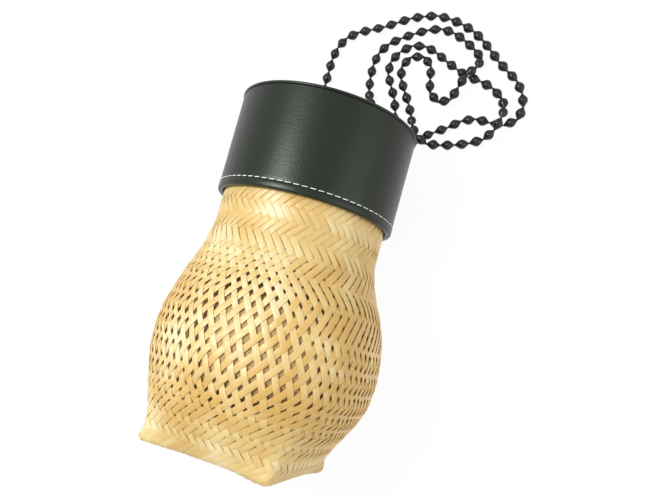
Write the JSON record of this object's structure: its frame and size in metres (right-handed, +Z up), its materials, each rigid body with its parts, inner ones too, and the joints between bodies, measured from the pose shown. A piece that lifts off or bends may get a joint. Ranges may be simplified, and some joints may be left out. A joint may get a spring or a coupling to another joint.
{
  "type": "basket bag",
  "caption": "Woven bamboo basket bag lying on its side, with a black leather lid that slides off its neck and a long strap of black beads.",
  "frame": {"origin": "on the floor, under the middle of the bag as it lies on its side, measured without the strap", "axes": "+Y from the woven base towards the lid, +X to the right, +Z up"},
  "size_m": [0.192, 0.3496, 0.1398],
  "materials": {
    "bamboo": "woven split bamboo, satin",
    "pouch_cloth": "plain cotton",
    "cord": "black twisted cord",
    "leather": "black, satin, fine grain",
    "card": "pressed fibre board",
    "lining_cloth": "plain cloth",
    "white_thread": "white sewing thread",
    "black_metal": "blackened brass",
    "beads": "black lacquer, half gloss"
  },
  "bodies": {
    "basket": {"basket_shell": "bamboo", "cloth_pouch": "pouch_cloth", "rim_hoop_outer": "bamboo", "rim_hoop_inner": "bamboo", "rim_binding": "pouch_cloth", "rim_knot_left": "cord", "rim_knot_right": "cord", "strap_tail_left": "cord", "strap_tail_right": "cord"},
    "lid": {"lid_band": "leather", "lid_top": "leather", "lid_piping": "leather", "lid_top_board": "card", "lid_stiffener": "card", "lid_lining": "lining_cloth", "hem_stitching": "white_thread", "seam_stitching": "cord", "eyelet_left": "black_metal", "eyelet_right": "black_metal", "eyelet_washer_left": "black_metal", "eyelet_washer_right": "black_metal", "bead_strap": "beads"}
  },
  "joints": [
    {"name": "lid_slide", "type": "slide", "parent": "basket", "child": "lid", "axis": [0, 0.9986, -0.0538], "range_m": [0, 0.055]}
  ]
}
